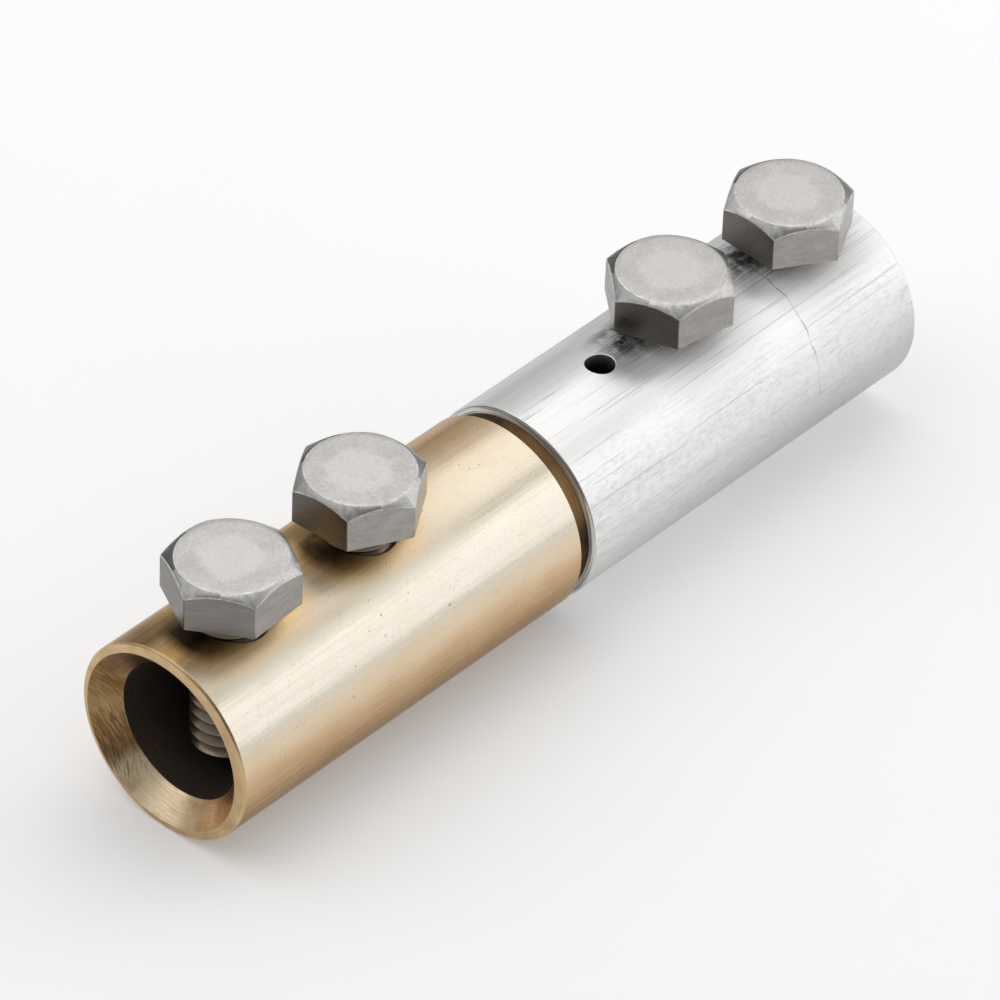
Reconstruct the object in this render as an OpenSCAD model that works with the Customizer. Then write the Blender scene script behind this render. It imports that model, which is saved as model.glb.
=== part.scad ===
// Two-metal bonding connector: a brass and an aluminium barrel joined end to end,
// each with a blind bore for a conductor and two hexagon-headed clamp bolts.
// X runs along the barrels from the brass mouth, and Z points up along the bolts.

/* [Barrels] */
// Outside diameter of both barrels
barrel_d = 22.2; // [20:0.1:26]
// Length of the brass barrel, from its mouth to its shoulder
brass_len = 49.7; // [47:0.1:60]
// Length of the aluminium barrel, from its joint face to its mouth
aluminium_len = 51.1; // [48:0.1:60]
// Bevel on the outer edges at the mouths
edge_bevel = 0.2; // [0.1:0.05:0.6]
// Bevel on the outer edge of the brass shoulder
shoulder_bevel = 0.1; // [0.05:0.05:0.6]

/* [Conductor bores] */
// Diameter of the blind bore in each barrel
bore_d = 15.4; // [13:0.1:16.4]
// Depth of each bore, measured from its mouth
bore_depth = 40.5; // [38:0.1:43]
// Flat land left between the countersink and the outer bevel
mouth_land = 0.86; // [0.4:0.02:1.2]

/* [Joint] */
// Diameter of the brass neck that shows in the groove
neck_d = 20.6; // [17:0.1:21.6]
// Width of the groove between the barrels
groove_w = 1.85; // [0.8:0.05:4]
// Diameter of the brass spigot inside the aluminium barrel
spigot_d = 12.7; // [8:0.1:15]
// Radial clearance of the spigot in its hole
spigot_clear = 0.02; // [0.01:0.01:0.1]
// Gap at the end of the spigot
spigot_end_gap = 0.5; // [0.2:0.1:1.5]
// Metal left between the spigot hole and the aluminium bore
spigot_floor = 2.5; // [1:0.1:4]
// Radial width of the bevel on the aluminium joint edge
joint_bevel_r = 0.7; // [0.1:0.05:0.8]
// Axial length of the bevel on the aluminium joint edge
joint_bevel_x = 0.3; // [0.1:0.05:1]

/* [Clamp bolts] */
// Outside diameter of the bolt thread
bolt_d = 7.94; // [6:0.02:9]
// Radial clearance of the thread in its tapped hole
thread_clear = 0.05; // [0.02:0.01:0.1]
// Bevel at the tip of a bolt
tip_bevel = 0.87; // [0.4:0.01:1.2]
// Height of the hexagon head
head_h = 4.9; // [4:0.1:7]
// Width of the hexagon head across its flats
head_af = 12.4; // [11:0.1:14]
// Diameter of the flat circle on top of the head
head_top_d = 11.6; // [9:0.1:13]
// Drop of the head's top bevel from the flat circle to a corner
head_bevel = 1; // [0.4:0.05:1.6]
// Gap left under a head when its bolt is screwed right down
head_spare = 0.65; // [0.4:0.05:3]

/* [Bolt places] */
// Brass mouth to the axis of the outer brass bolt
brass_bolt_edge = 9.4; // [8:0.05:11]
// Distance between the two brass bolts
brass_bolt_pitch = 18.55; // [17:0.05:20]
// Aluminium mouth to the axis of the outer aluminium bolt
aluminium_bolt_edge = 8.95; // [8:0.05:11]
// Distance between the two aluminium bolts
aluminium_bolt_pitch = 18.85; // [17:0.05:20]

/* [Bolt settings] */
// Backing off of the outer brass bolt from the bore floor
brass_outer_lift = 1.65; // [0.2:0.05:12]
// Backing off of the inner brass bolt from the bore floor
brass_inner_lift = 1.8; // [0.2:0.05:12]
// Backing off of the inner aluminium bolt from the bore floor
aluminium_inner_lift = 0.75; // [0.2:0.05:12]
// Backing off of the outer aluminium bolt from the bore floor
aluminium_outer_lift = 0.4; // [0.2:0.05:12]
// Turn of the outer brass bolt, from a corner on +X
brass_outer_turn = 3; // [0:0.5:60]
// Turn of the inner brass bolt, from a corner on +X
brass_inner_turn = 32.5; // [0:0.5:60]
// Turn of the inner aluminium bolt, from a corner on +X
aluminium_inner_turn = 49; // [0:0.5:60]
// Turn of the outer aluminium bolt, from a corner on +X
aluminium_outer_turn = 27.5; // [0:0.5:60]

/* [Inspection hole] */
// Diameter of the inspection hole in the aluminium barrel
sight_d = 3.2; // [2:0.1:5]
// Bore bottom to the axis of the inspection hole
sight_inset = 2.15; // [1.6:0.05:5]

/* [Hidden] */
$fn = 128;
// Overlap that lets a cut run clear of a face
over = 1;
barrel_r = barrel_d / 2;
bore_r = bore_d / 2;
bolt_r = bolt_d / 2;
tip_r = bolt_r - tip_bevel;
// 45 degree countersink between the mouth's land and the bore
sink_r = barrel_r - edge_bevel - mouth_land;
sink_depth = sink_r - bore_r;
// Depth below the barrel axis at which a bolt's flat tip meets the bore
floor_depth = sqrt(bore_r * bore_r - tip_r * tip_r);
bolt_len = barrel_r + floor_depth + head_spare;
// Stations along X
joint_x = brass_len + groove_w;
end_x = joint_x + aluminium_len;
brass_outer_x = brass_bolt_edge;
brass_inner_x = brass_outer_x + brass_bolt_pitch;
aluminium_outer_x = end_x - aluminium_bolt_edge;
aluminium_inner_x = aluminium_outer_x - aluminium_bolt_pitch;
aluminium_bottom_x = end_x - bore_depth;
sight_x = aluminium_bottom_x + sight_inset;
// The spigot's hole stops short of the bore by the metal left there
spigot_hole = aluminium_bottom_x - spigot_floor - joint_x;
spigot_len = spigot_hole - spigot_end_gap;
brass_color = "#c8a76a";
aluminium_color = "#dcdde0";
steel_color = "#a9a49e";

// Turned bar along +X from x = 0, with a bevel (axial, radial) at each end
module bar(r, len, start, finish) {
    rotate([0, 90, 0])
        rotate_extrude()
            polygon([
                [0, 0],
                [r - start[1], 0],
                [r, start[0]],
                [r, len - finish[0]],
                [r - finish[1], len],
                [0, len]
            ]);
}

// Plain round along +X from x
module round_x(x, r, len) {
    translate([x, 0, 0])
        rotate([0, 90, 0])
            cylinder(r = r, h = len);
}

// Blind conductor bore and its countersink, entered from x = 0 towards +X
module conductor_bore() {
    round_x(-over, bore_r, bore_depth + over);
    translate([-over, 0, 0])
        rotate([0, 90, 0])
            cylinder(r1 = sink_r + over, r2 = bore_r, h = sink_depth + over);
}

// Tapped hole through the top wall only
module tapped_hole(x) {
    translate([x, 0, 0])
        cylinder(r = bolt_r + thread_clear, h = barrel_r + over);
}

// Brass barrel with its bore, neck and spigot, turned from one bar
module brass_socket() {
    color(brass_color)
        difference() {
            union() {
                bar(
                    barrel_r,
                    brass_len,
                    [edge_bevel, edge_bevel],
                    [shoulder_bevel, shoulder_bevel]
                );
                round_x(brass_len - over, neck_d / 2, groove_w + over);
                round_x(joint_x - over, spigot_d / 2, spigot_len + over);
            }
            conductor_bore();
            tapped_hole(brass_outer_x);
            tapped_hole(brass_inner_x);
        }
}

// Aluminium barrel with its bore, inspection hole and spigot hole
module aluminium_socket() {
    color(aluminium_color)
        difference() {
            translate([joint_x, 0, 0])
                bar(
                    barrel_r,
                    aluminium_len,
                    [joint_bevel_x, joint_bevel_r],
                    [edge_bevel, edge_bevel]
                );
            translate([end_x, 0, 0])
                mirror([1, 0, 0])
                    conductor_bore();
            round_x(joint_x - over, spigot_d / 2 + spigot_clear, spigot_hole + over);
            tapped_hole(aluminium_inner_x);
            tapped_hole(aluminium_outer_x);
            translate([sight_x, 0, 0])
                cylinder(d = sight_d, h = barrel_r + over);
        }
}

// Hexagon head with its base at z = 0 and a conical bevel on top
module hex_head() {
    corner_r = head_af / sqrt(3);
    top_r = head_top_d / 2;
    slope = (corner_r - top_r) / head_bevel;
    intersection() {
        cylinder(r = corner_r, h = head_h, $fn = 6);
        cylinder(r1 = top_r + slope * head_h, r2 = top_r, h = head_h);
    }
}

// Hexagon bolt at x, backed off from the bore floor by lift
module clamp_bolt(x, lift, turn) {
    color(steel_color)
        translate([x, 0, lift - floor_depth])
            rotate([0, 0, turn])
                union() {
                    rotate_extrude()
                        polygon([
                            [0, 0],
                            [tip_r, 0],
                            [bolt_r, tip_bevel],
                            [bolt_r, bolt_len + over],
                            [0, bolt_len + over]
                        ]);
                    translate([0, 0, bolt_len])
                        hex_head();
                }
}

module brass_outer_bolt() {
    clamp_bolt(brass_outer_x, brass_outer_lift, brass_outer_turn);
}

module brass_inner_bolt() {
    clamp_bolt(brass_inner_x, brass_inner_lift, brass_inner_turn);
}

module aluminium_inner_bolt() {
    clamp_bolt(aluminium_inner_x, aluminium_inner_lift, aluminium_inner_turn);
}

module aluminium_outer_bolt() {
    clamp_bolt(aluminium_outer_x, aluminium_outer_lift, aluminium_outer_turn);
}

brass_socket();
aluminium_socket();
brass_outer_bolt();
brass_inner_bolt();
aluminium_inner_bolt();
aluminium_outer_bolt();
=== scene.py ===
"""Bonding connector: finishes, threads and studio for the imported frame, in metres."""

import math

import bmesh
import bpy
from mathutils import Matrix, Quaternion, Vector


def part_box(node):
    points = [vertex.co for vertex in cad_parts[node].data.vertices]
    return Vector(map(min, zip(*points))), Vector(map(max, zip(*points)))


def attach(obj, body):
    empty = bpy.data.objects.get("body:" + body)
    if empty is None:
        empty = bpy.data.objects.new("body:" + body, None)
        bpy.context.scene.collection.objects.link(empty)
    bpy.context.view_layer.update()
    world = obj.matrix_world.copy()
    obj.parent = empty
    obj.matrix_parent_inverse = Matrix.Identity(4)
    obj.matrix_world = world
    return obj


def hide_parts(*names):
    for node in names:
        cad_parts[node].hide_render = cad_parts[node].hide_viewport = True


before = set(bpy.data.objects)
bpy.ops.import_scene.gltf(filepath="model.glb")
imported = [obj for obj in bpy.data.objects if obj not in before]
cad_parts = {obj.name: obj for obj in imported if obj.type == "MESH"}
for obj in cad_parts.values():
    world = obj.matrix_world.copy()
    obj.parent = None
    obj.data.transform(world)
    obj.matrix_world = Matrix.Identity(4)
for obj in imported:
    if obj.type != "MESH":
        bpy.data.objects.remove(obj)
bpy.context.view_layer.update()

MM = 0.001

# Sizes taken from the frame
brass_low, brass_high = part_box("brass_socket")
aluminium_low, aluminium_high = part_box("aluminium_socket")
FLOOR_Z = brass_low.z
BARREL_R = brass_high.y
SPIGOT_END = brass_high.x
JOINT_X = aluminium_low.x
END_X = aluminium_high.x

# Turned barrels
BRASS_LEN = 49.7 * MM
BORE_R = 7.7 * MM
BORE_DEPTH = 40.5 * MM
BORE_BOTTOM_X = END_X - BORE_DEPTH
EDGE_BEVEL = 0.2 * MM
SHOULDER_BEVEL = 0.1 * MM
MOUTH_LAND = 0.86 * MM
SINK_R = BARREL_R - EDGE_BEVEL - MOUTH_LAND
SINK_DEPTH = SINK_R - BORE_R
# The brass countersink's mouth lies a little off centre
SINK_SHIFT = Vector((0, 0.40 * MM, -0.30 * MM))
# The shift takes along what lies this near its edge
SINK_EDGE = 0.1 * MM
NECK_R = 10.3 * MM
SPIGOT_R = 6.35 * MM
SPIGOT_CLEAR = 0.02 * MM
SPIGOT_END_GAP = 0.5 * MM
JOINT_BEVEL_R = 0.7 * MM
JOINT_BEVEL_X = 0.3 * MM
SIGHT_R = 1.6 * MM
SIGHT_INSET = 2.15 * MM
RING_SCORE_X = END_X - 14.6 * MM
# How far past a bore's bottom its finish reaches
BORE_SPARE = 1 * MM

# Rounding of the barrels' edges, and the width of the bevels round their holes
SHARP_ROUND = 0.06 * MM
BRASS_MOUTH_ROUND = 0.2 * MM
ALUMINIUM_ROUND = 0.1 * MM
BORE_BOTTOM_ROUND = 0.3 * MM
TAPPED_LIP = 0.12 * MM
SIGHT_LIP = 0.08 * MM

# Bolts
BOLT_R = 3.97 * MM
THREAD_CLEAR = 0.05 * MM
TAPPED_R = BOLT_R + THREAD_CLEAR
THREAD_PITCH = 1.41 * MM
THREAD_DEPTH = 0.8 * MM
# Thread form as shares of the pitch and of the depth
THREAD_FORM = ((0, 0), (0.125, 0), (0.42, 0.94), (0.56, 1), (0.70, 0.94))
TIP_BEVEL = 0.87 * MM
UNDERCUT_LEN = 1.1 * MM
UNDERCUT_R = 3.7 * MM
HEAD_H = 4.9 * MM
HEAD_AF = 12.4 * MM
HEAD_TOP_R = 5.8 * MM
HEAD_BEVEL = 1.0 * MM
HEAD_CORNER_R = 0.22 * MM
HEAD_EDGE = 0.09 * MM
HEAD_RIM = 0.2 * MM
HEAD_SIDES = 6
SIDE_DEGREES = 60
# The turn of each bolt in degrees
BOLTS = {
    "brass_outer_bolt": 3.0,
    "brass_inner_bolt": 32.5,
    "aluminium_inner_bolt": 49.0,
    "aluminium_outer_bolt": 27.5,
}
BRASS_BOLTS = list(BOLTS)[:2]
ALUMINIUM_BOLTS = list(BOLTS)[2:]

# Mesh fineness, and how near counts as touching
LATHE_STEPS = 256
HOLE_STEPS = 96
FILLET_STEPS = 4
FLAT_STEPS = 12
CORNER_HALF_DEGREES = 0.9
NEAR = 0.01 * MM
ROUND_NEAR = 0.003 * MM
WELD = 0.001 * MM
# Sends a face halfway between two corners of a head to the next corner
TIE_NUDGE = 0.001

# Camera
AZIMUTH = -49.63
ELEVATION = 39.66
ROLL = 2.616
DISTANCE = 829.57 * MM
TARGET = Vector((51.06 * MM, 1.33 * MM, 0))
FIELD_OF_VIEW = 7.058
SENSOR_WIDTH = 36

# Studio
FLOOR_HALF = 3.0
FLOOR_GLOW = 0.19
FLOOR_NEAR = 0.12
FLOOR_FAR = 0.5
OVERHEAD_PLACE = TARGET + Vector((-0.10, 0.28, 0.5))
OVERHEAD_SIZE = (1.60, 0.60)
OVERHEAD_RADIANCE = 0.56
OVERHEAD_TURN = -18
FRONT_PLACE = TARGET + 0.62 * Vector((0.74, -0.56, 0.37))
FRONT_SIZE = (0.84, 0.50)
FRONT_RADIANCE = 0.82
# The room grows lighter as the cosine of the turn off its light side rises through this span
ROOM_LIGHT_WAY = Vector((0.2, 0.45, 0.87)).normalized()
ROOM_SPAN = (0.1, 0.8)
ROOM_DARK = 0.24
ROOM_LIGHT = 0.66


def bolt_axis(name):
    """The middle of a bolt's box, which lies on its axis."""
    low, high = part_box(name)
    return (low + high) / 2


# Colours, linear with alpha

def grey(level):
    """A plain grey."""
    return (level, level, level, 1)


BRASS_PALE = (0.785, 0.70, 0.557, 1)
# Painted shade, golden and then brown, and a painted highlight, by the way the brass faces
BRASS_GOLD_SHADE = (0.72, 0.50, 0.29, 1)
BRASS_PAINTED_HIGHLIGHT = (0.90, 0.835, 0.72, 1)
BRASS_BROWN_SHADE = (0.375, 0.238, 0.113, 1)
# Aged brass lightened by a painted golden sheen, and a painted sheen round the bolts
BRASS_AGED_AND_SHEEN = (1.0, 0.66, 0.28, 1)
BRASS_PAINTED_SHEEN = (0.87, 0.50, 0.17, 1)
# Painted shade on the back flank by the mouth and behind the inner bolt
BRASS_SHADE_BY_MOUTH = (0.22, 0.135, 0.05, 1)
BRASS_SHADE_BEHIND_BOLT = (0.30, 0.195, 0.07, 1)
BRASS_LINE = (0.88, 0.77, 0.60, 1)
BRASS_GRAIN = (0.44, 0.295, 0.155, 1)
BRASS_HAIR = (0.40, 0.27, 0.14, 1)
BRASS_NICK = (0.32, 0.21, 0.11, 1)
# Painted shadow and dark reflection under the bolt heads
BRASS_PAINTED_SHADOW = (0.028, 0.021, 0.016, 1)
BRASS_TINT = (0.87, 0.78, 0.70, 1)

SINK_PALE = (1.0, 0.82, 0.555, 1)
# Painted shade on sides of the countersink, from golden to deep brown
SINK_GOLDEN_SHADE = (0.56, 0.40, 0.21, 1)
SINK_BROWN_SHADE = (0.165, 0.087, 0.027, 1)
SINK_DEEP_SHADE = (0.20, 0.11, 0.04, 1)
SINK_WARM_SHADE = (0.47, 0.24, 0.095, 1)
SINK_RUBBED = (0.50, 0.34, 0.15, 1)
SINK_HATCH = (0.13, 0.078, 0.036, 1)
LAND_LIGHT = (0.66, 0.48, 0.27, 1)
LAND_DARK = (0.50, 0.345, 0.18, 1)
TURNED_RING = (0.50, 0.335, 0.165, 1)
TURNED_HAIR = (0.30, 0.185, 0.085, 1)

# Tarnish and painted shade in the groove, painted golden light where the neck faces up, and a painted
# highlight
NECK_TARNISH_AND_SHADE = (0.03, 0.017, 0.009, 1)
NECK_LIT_GOLD = (0.20, 0.112, 0.044, 1)
NECK_PAINTED_HIGHLIGHT = (0.34, 0.19, 0.075, 1)
NECK_RING = (0.15, 0.085, 0.04, 1)

ALUMINIUM_LIGHT = (0.90, 0.895, 0.885, 1)
ALUMINIUM_DIM = (0.863, 0.858, 0.85, 1)
# Painted highlight along the aluminium's front
ALUMINIUM_PAINTED_HIGHLIGHT = (0.945, 0.942, 0.934, 1)
ALUMINIUM_LINE = grey(0.70)
ALUMINIUM_HAIR = grey(0.60)
# Grime and painted shade in lines round the bolts, and a painted shadow under the heads
ALUMINIUM_GRIME_AND_SHADE = grey(0.22)
ALUMINIUM_PAINTED_SHADOW = grey(0.045)
# Painted shade on the lower side towards the end, and on the back
ALUMINIUM_LOW_SHADE = (0.50, 0.50, 0.497, 1)
ALUMINIUM_BACK_SHADE = (0.55, 0.55, 0.555, 1)
ALUMINIUM_SCORE = grey(0.40)
ALUMINIUM_SCUFF = (0.42, 0.42, 0.425, 1)
ALUMINIUM_RING = grey(0.22)
ALUMINIUM_TINT = grey(0.84)
FACED_LIGHT = (0.86, 0.86, 0.855, 1)
FACED_WORN = (0.36, 0.36, 0.365, 1)

UNDER_LIGHT = (0.78, 0.76, 0.73, 1)
UNDER_DARK = (0.66, 0.64, 0.61, 1)
# Painted shade under the head, towards the shank
UNDER_SHADE = (0.10, 0.09, 0.08, 1)
THREAD_LIGHT = (0.46, 0.38, 0.295, 1)
THREAD_DARK = (0.22, 0.175, 0.13, 1)
# Painted shade in the thread's grooves and under the head
THREAD_ROOT_SHADE = (0.10, 0.07, 0.045, 1)
THREAD_SHADE_UNDER_HEAD = (0.08, 0.07, 0.06, 1)

FLOOR_LIGHT = grey(0.95)
FLOOR_DIM = grey(0.93)
# Painted shade that darkens the floor far away
FLOOR_FAR_SHADE = grey(0.30)


# Shader helpers

# The span in which nearly all noise lies, and the one in which it parts two tones
NOISE_SPAN = (0.3, 0.7)
TWO_TONES = (0.35, 0.65)
NOISE_ROUGHNESS = 0.55
SCRATCH_EDGE = 0.06
RING_DRIFT = 1.5


def cosine(degrees):
    """The cosine of an angle in degrees."""
    return math.cos(math.radians(degrees))


def sine(degrees):
    """The sine of an angle in degrees."""
    return math.sin(math.radians(degrees))


def around(degrees):
    """The way off the X axis at an angle from the top towards the front."""
    return Vector((0, -sine(degrees), cosine(degrees)))


class Nodes:
    """Short calls that add nodes to one tree and return their outputs."""

    def __init__(self, tree):
        self.tree = tree

    def feed(self, node, inputs):
        """Set a node's inputs to values, or link them to sockets."""
        for key, value in inputs.items():
            if isinstance(value, bpy.types.NodeSocket):
                self.tree.links.new(value, node.inputs[key])
            else:
                node.inputs[key].default_value = value

    def add(self, kind, inputs=None, **settings):
        """A node with its settings and inputs."""
        made = self.tree.nodes.new("ShaderNode" + kind)
        for key, value in settings.items():
            setattr(made, key, value)
        self.feed(made, inputs or {})
        return made

    def maths(self, operation, first, second=0.0, third=0.0, clamp=False):
        """One arithmetic step."""
        inputs = {0: first, 1: second, 2: third}
        return self.add("Math", inputs, operation=operation, use_clamp=clamp).outputs["Value"]

    def times(self, product, *factors):
        """The product of two or more values."""
        for factor in factors:
            product = self.maths("MULTIPLY", product, factor)
        return product

    def most(self, first, second):
        """The larger of two values."""
        return self.maths("MAXIMUM", first, second)

    def held_sum(self, first, second):
        """The sum of two values, held between 0 and 1."""
        return self.maths("ADD", first, second, clamp=True)

    def measure(self, operation, *vectors):
        """A length, a distance or a dot product."""
        return self.add("VectorMath", dict(enumerate(vectors)), operation=operation).outputs["Value"]

    def vector(self, **parts):
        """A vector from its X, Y and Z."""
        return self.add("CombineXYZ", parts).outputs["Vector"]

    def parts(self, vector):
        """The X, Y and Z of a vector."""
        return self.add("SeparateXYZ", {"Vector": vector}).outputs

    def stretched(self, vector, scale):
        """A vector scaled by a factor along each axis."""
        return self.add("Mapping", {"Vector": vector, "Scale": scale}).outputs["Vector"]

    def noise(self, vector, detail):
        """Noise from about 0 to 1 with one feature a unit."""
        inputs = {"Vector": vector, "Scale": 1.0, "Detail": detail, "Roughness": NOISE_ROUGHNESS}
        return self.add("TexNoise", inputs).outputs["Fac"]

    def remap(self, value, low, high, to_low=0, to_high=1):
        """Values from low to high become to_low to to_high, and stay inside them."""
        inputs = {"Value": value, "From Min": low, "From Max": high, "To Min": to_low, "To Max": to_high}
        return self.add("MapRange", inputs).outputs["Result"]

    def spread(self, noise, to_low, to_high):
        """Noise spread from to_low to to_high."""
        return self.remap(noise, *NOISE_SPAN, to_low, to_high)

    def peaks(self, noise, low, high, cover=1):
        """Nothing where noise is below low, rising to that cover where it is high."""
        return self.remap(noise, low, high, 0, cover)

    def blend(self, factor, first, second):
        """A colour between two others."""
        inputs = {"Factor": factor, "A": first, "B": second}
        return self.add("Mix", inputs, data_type="RGBA").outputs["Result"]

    def layers(self, colour, *covers):
        """A colour under (cover, colour) layers, the last of them on top."""
        for cover, over in covers:
            colour = self.blend(cover, colour, over)
        return colour

    def bump(self, height, distance, strength=1.0, normal=None):
        """A bumped normal for a height that runs from 0 to 1."""
        inputs = {"Height": height, "Distance": distance, "Strength": strength}
        if normal is not None:
            inputs["Normal"] = normal
        return self.add("Bump", inputs).outputs["Normal"]


class Finish(Nodes):
    """A material, with the place and the normal on the object that its nodes start from."""

    def __init__(self, name, metallic=1.0):
        self.material = bpy.data.materials.new(name)
        self.material.use_nodes = True
        super().__init__(self.material.node_tree)
        coordinates = self.add("TexCoord").outputs
        self.place = coordinates["Object"]
        self.normal = coordinates["Normal"]
        self.grain_place = self.place
        self.paint({"Metallic": metallic})

    def paint(self, inputs):
        """The material, with these inputs of its surface set or linked."""
        self.feed(self.tree.nodes["Principled BSDF"], inputs)
        return self.material

    def flat_place(self):
        """The place without its height."""
        return self.stretched(self.place, (1, 1, 0))

    def grain(self, sizes, detail=3.0):
        """Noise with features of about those sizes along X, Y and Z."""
        return self.noise(self.stretched(self.grain_place, [1 / size for size in sizes]), detail)

    def mottle(self, size, detail=4.0):
        """Even noise with features of about that size."""
        return self.grain((size, size, size), detail)


class BarFinish(Finish):
    """A finish for a barrel, with its zones laid out along and round the X axis."""

    def __init__(self, name, metallic=1.0):
        super().__init__(name, metallic)
        parts = self.parts(self.place)
        self.along = parts["X"]
        self.radius = self.measure("LENGTH", self.vector(Y=parts["Y"], Z=parts["Z"]))
        self.angle = self.maths("ARCTAN2", parts["Y"], parts["Z"])
        self.end_plane = (parts["Y"], parts["Z"])
        self.unrolled = (self.along, self.times(self.angle, BARREL_R))

    def facing(self, degrees, ends, full):
        """1 where the surface faces that way round the X axis, and 0 the end angle off it."""
        turned = self.measure("DOT_PRODUCT", self.normal, around(degrees))
        return self.remap(turned, cosine(ends), cosine(full))

    def spoke(self, degrees, ends, full):
        """1 on the side of the X axis that lies that way, and 0 the end angle away from it."""
        reach = self.measure("DOT_PRODUCT", self.place, around(degrees))
        return self.remap(self.maths("DIVIDE", reach, self.radius), cosine(ends), cosine(full))

    def near_bolts(self, names, full, ends, shift=0.0):
        """1 out to the full distance from the bolts' axes, shifted along X, and 0 past the end distance."""
        flat = self.flat_place()
        nearest = 0.0
        for name in names:
            apart = self.measure("DISTANCE", flat, (bolt_axis(name).x + shift, 0, 0))
            nearest = self.most(nearest, self.remap(apart, full, ends, 1, 0))
        return nearest

    def streaks(self, length, width, detail=3.0):
        """Noise in streaks along X, of about that length and width."""
        return self.grain((length, width, width), detail)

    def rings(self, width):
        """Noise in rings round the X axis, of about that width."""
        across = self.times(self.radius, 1 / width)
        ahead = self.times(self.along, 1 / width)
        return self.noise(self.vector(X=across, Y=ahead, Z=self.times(self.angle, RING_DRIFT)), 2.0)

    def scratches(self, plane, *kinds):
        """Thin straight marks in a plane, each kind with its angle, length, width and rarity up to 1."""
        first, second = plane
        found = 0.0
        for degrees, length, width, rarity in kinds:
            run = self.times(second, sine(degrees) / length)
            run = self.maths("MULTIPLY_ADD", first, cosine(degrees) / length, run)
            rise = self.times(first, -sine(degrees) / width)
            rise = self.maths("MULTIPLY_ADD", second, cosine(degrees) / width, rise)
            marks = self.noise(self.vector(X=run, Y=rise, Z=degrees), 1.0)
            found = self.most(found, self.peaks(marks, rarity, rarity + SCRATCH_EDGE))
        return found


class BoltFinish(Finish):
    """A finish for a bolt, with zones round the Z axis and a grain that differs between bolts."""

    def __init__(self, name, metallic=1.0):
        super().__init__(name, metallic)
        location = self.add("ObjectInfo").outputs["Location"]
        moved = self.add("VectorMath", {0: self.place, 1: location}, operation="ADD")
        self.grain_place = moved.outputs["Vector"]
        self.off_axis = self.measure("LENGTH", self.flat_place())

    def turned_to(self, degrees, low, high):
        """0 to 1 as the cosine of the turn off a way, measured from the X axis, rises from low to high."""
        turned = self.measure("DOT_PRODUCT", self.normal, (cosine(degrees), sine(degrees), 0))
        return self.remap(turned, low, high)


# Materials of the brass barrel

def brass_tones_painted_by_light(finish, patches):
    """Brass by the way it faces, in painted light: pale along its upper front with a painted highlight, and
    golden and then brown painted shade away from it.
    """
    slightly = finish.spread(patches, -0.06, 0.06)
    golden = finish.remap(finish.facing(36, ends=52, full=24), 0, 1, 0.95, 0)
    brown = finish.remap(finish.facing(36, ends=80, full=42), 0, 1, 0.95, 0)
    return finish.layers(
        BRASS_PALE,
        (finish.held_sum(golden, slightly), BRASS_GOLD_SHADE),
        (finish.facing(51, ends=19, full=8), BRASS_PAINTED_HIGHLIGHT),
        (finish.held_sum(brown, slightly), BRASS_BROWN_SHADE),
    )


def aged_brass_with_painted_light(finish, colour, patches):
    """A brass colour aged by its mouth and its bolts, and little past the last of them, with a painted golden
    sheen round the bolts and painted shade on the back flank by the mouth and behind the inner bolt.
    """
    last_bolt = bolt_axis(BRASS_BOLTS[-1]).x
    off_joint = finish.remap(finish.along, last_bolt + 3 * MM, last_bolt + 6 * MM, 1, 0.25)
    near_mouth = finish.remap(finish.along, 3 * MM, 15 * MM, 1, 0)
    by_mouth = finish.times(near_mouth, finish.facing(-18, ends=40, full=20))
    by_bolts = finish.near_bolts(BRASS_BOLTS, 5.5 * MM, 11 * MM)
    aged = finish.held_sum(finish.most(by_bolts, by_mouth), finish.spread(patches, -0.2, 0.2))
    sheen_ring = finish.near_bolts(BRASS_BOLTS, 6 * MM, 9 * MM, shift=-1 * MM)
    sheen_strength = finish.times(off_joint, 0.6)
    behind_bolt = finish.near_bolts(BRASS_BOLTS[-1:], 6 * MM, 9 * MM, shift=-3 * MM)
    return finish.layers(
        colour,
        # Aged tarnish with a painted golden sheen, then a painted sheen round the bolts
        (finish.times(aged, finish.facing(-10, ends=46, full=26), off_joint), BRASS_AGED_AND_SHEEN),
        (finish.times(sheen_ring, finish.facing(4, ends=18, full=8), sheen_strength), BRASS_PAINTED_SHEEN),
        # Painted shade on the back flank by the mouth and behind the inner bolt
        (finish.times(by_mouth, finish.facing(-32, ends=36, full=16)), BRASS_SHADE_BY_MOUTH),
        (finish.times(behind_bolt, finish.facing(-36, ends=20, full=8)), BRASS_SHADE_BEHIND_BOLT),
    )


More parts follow.
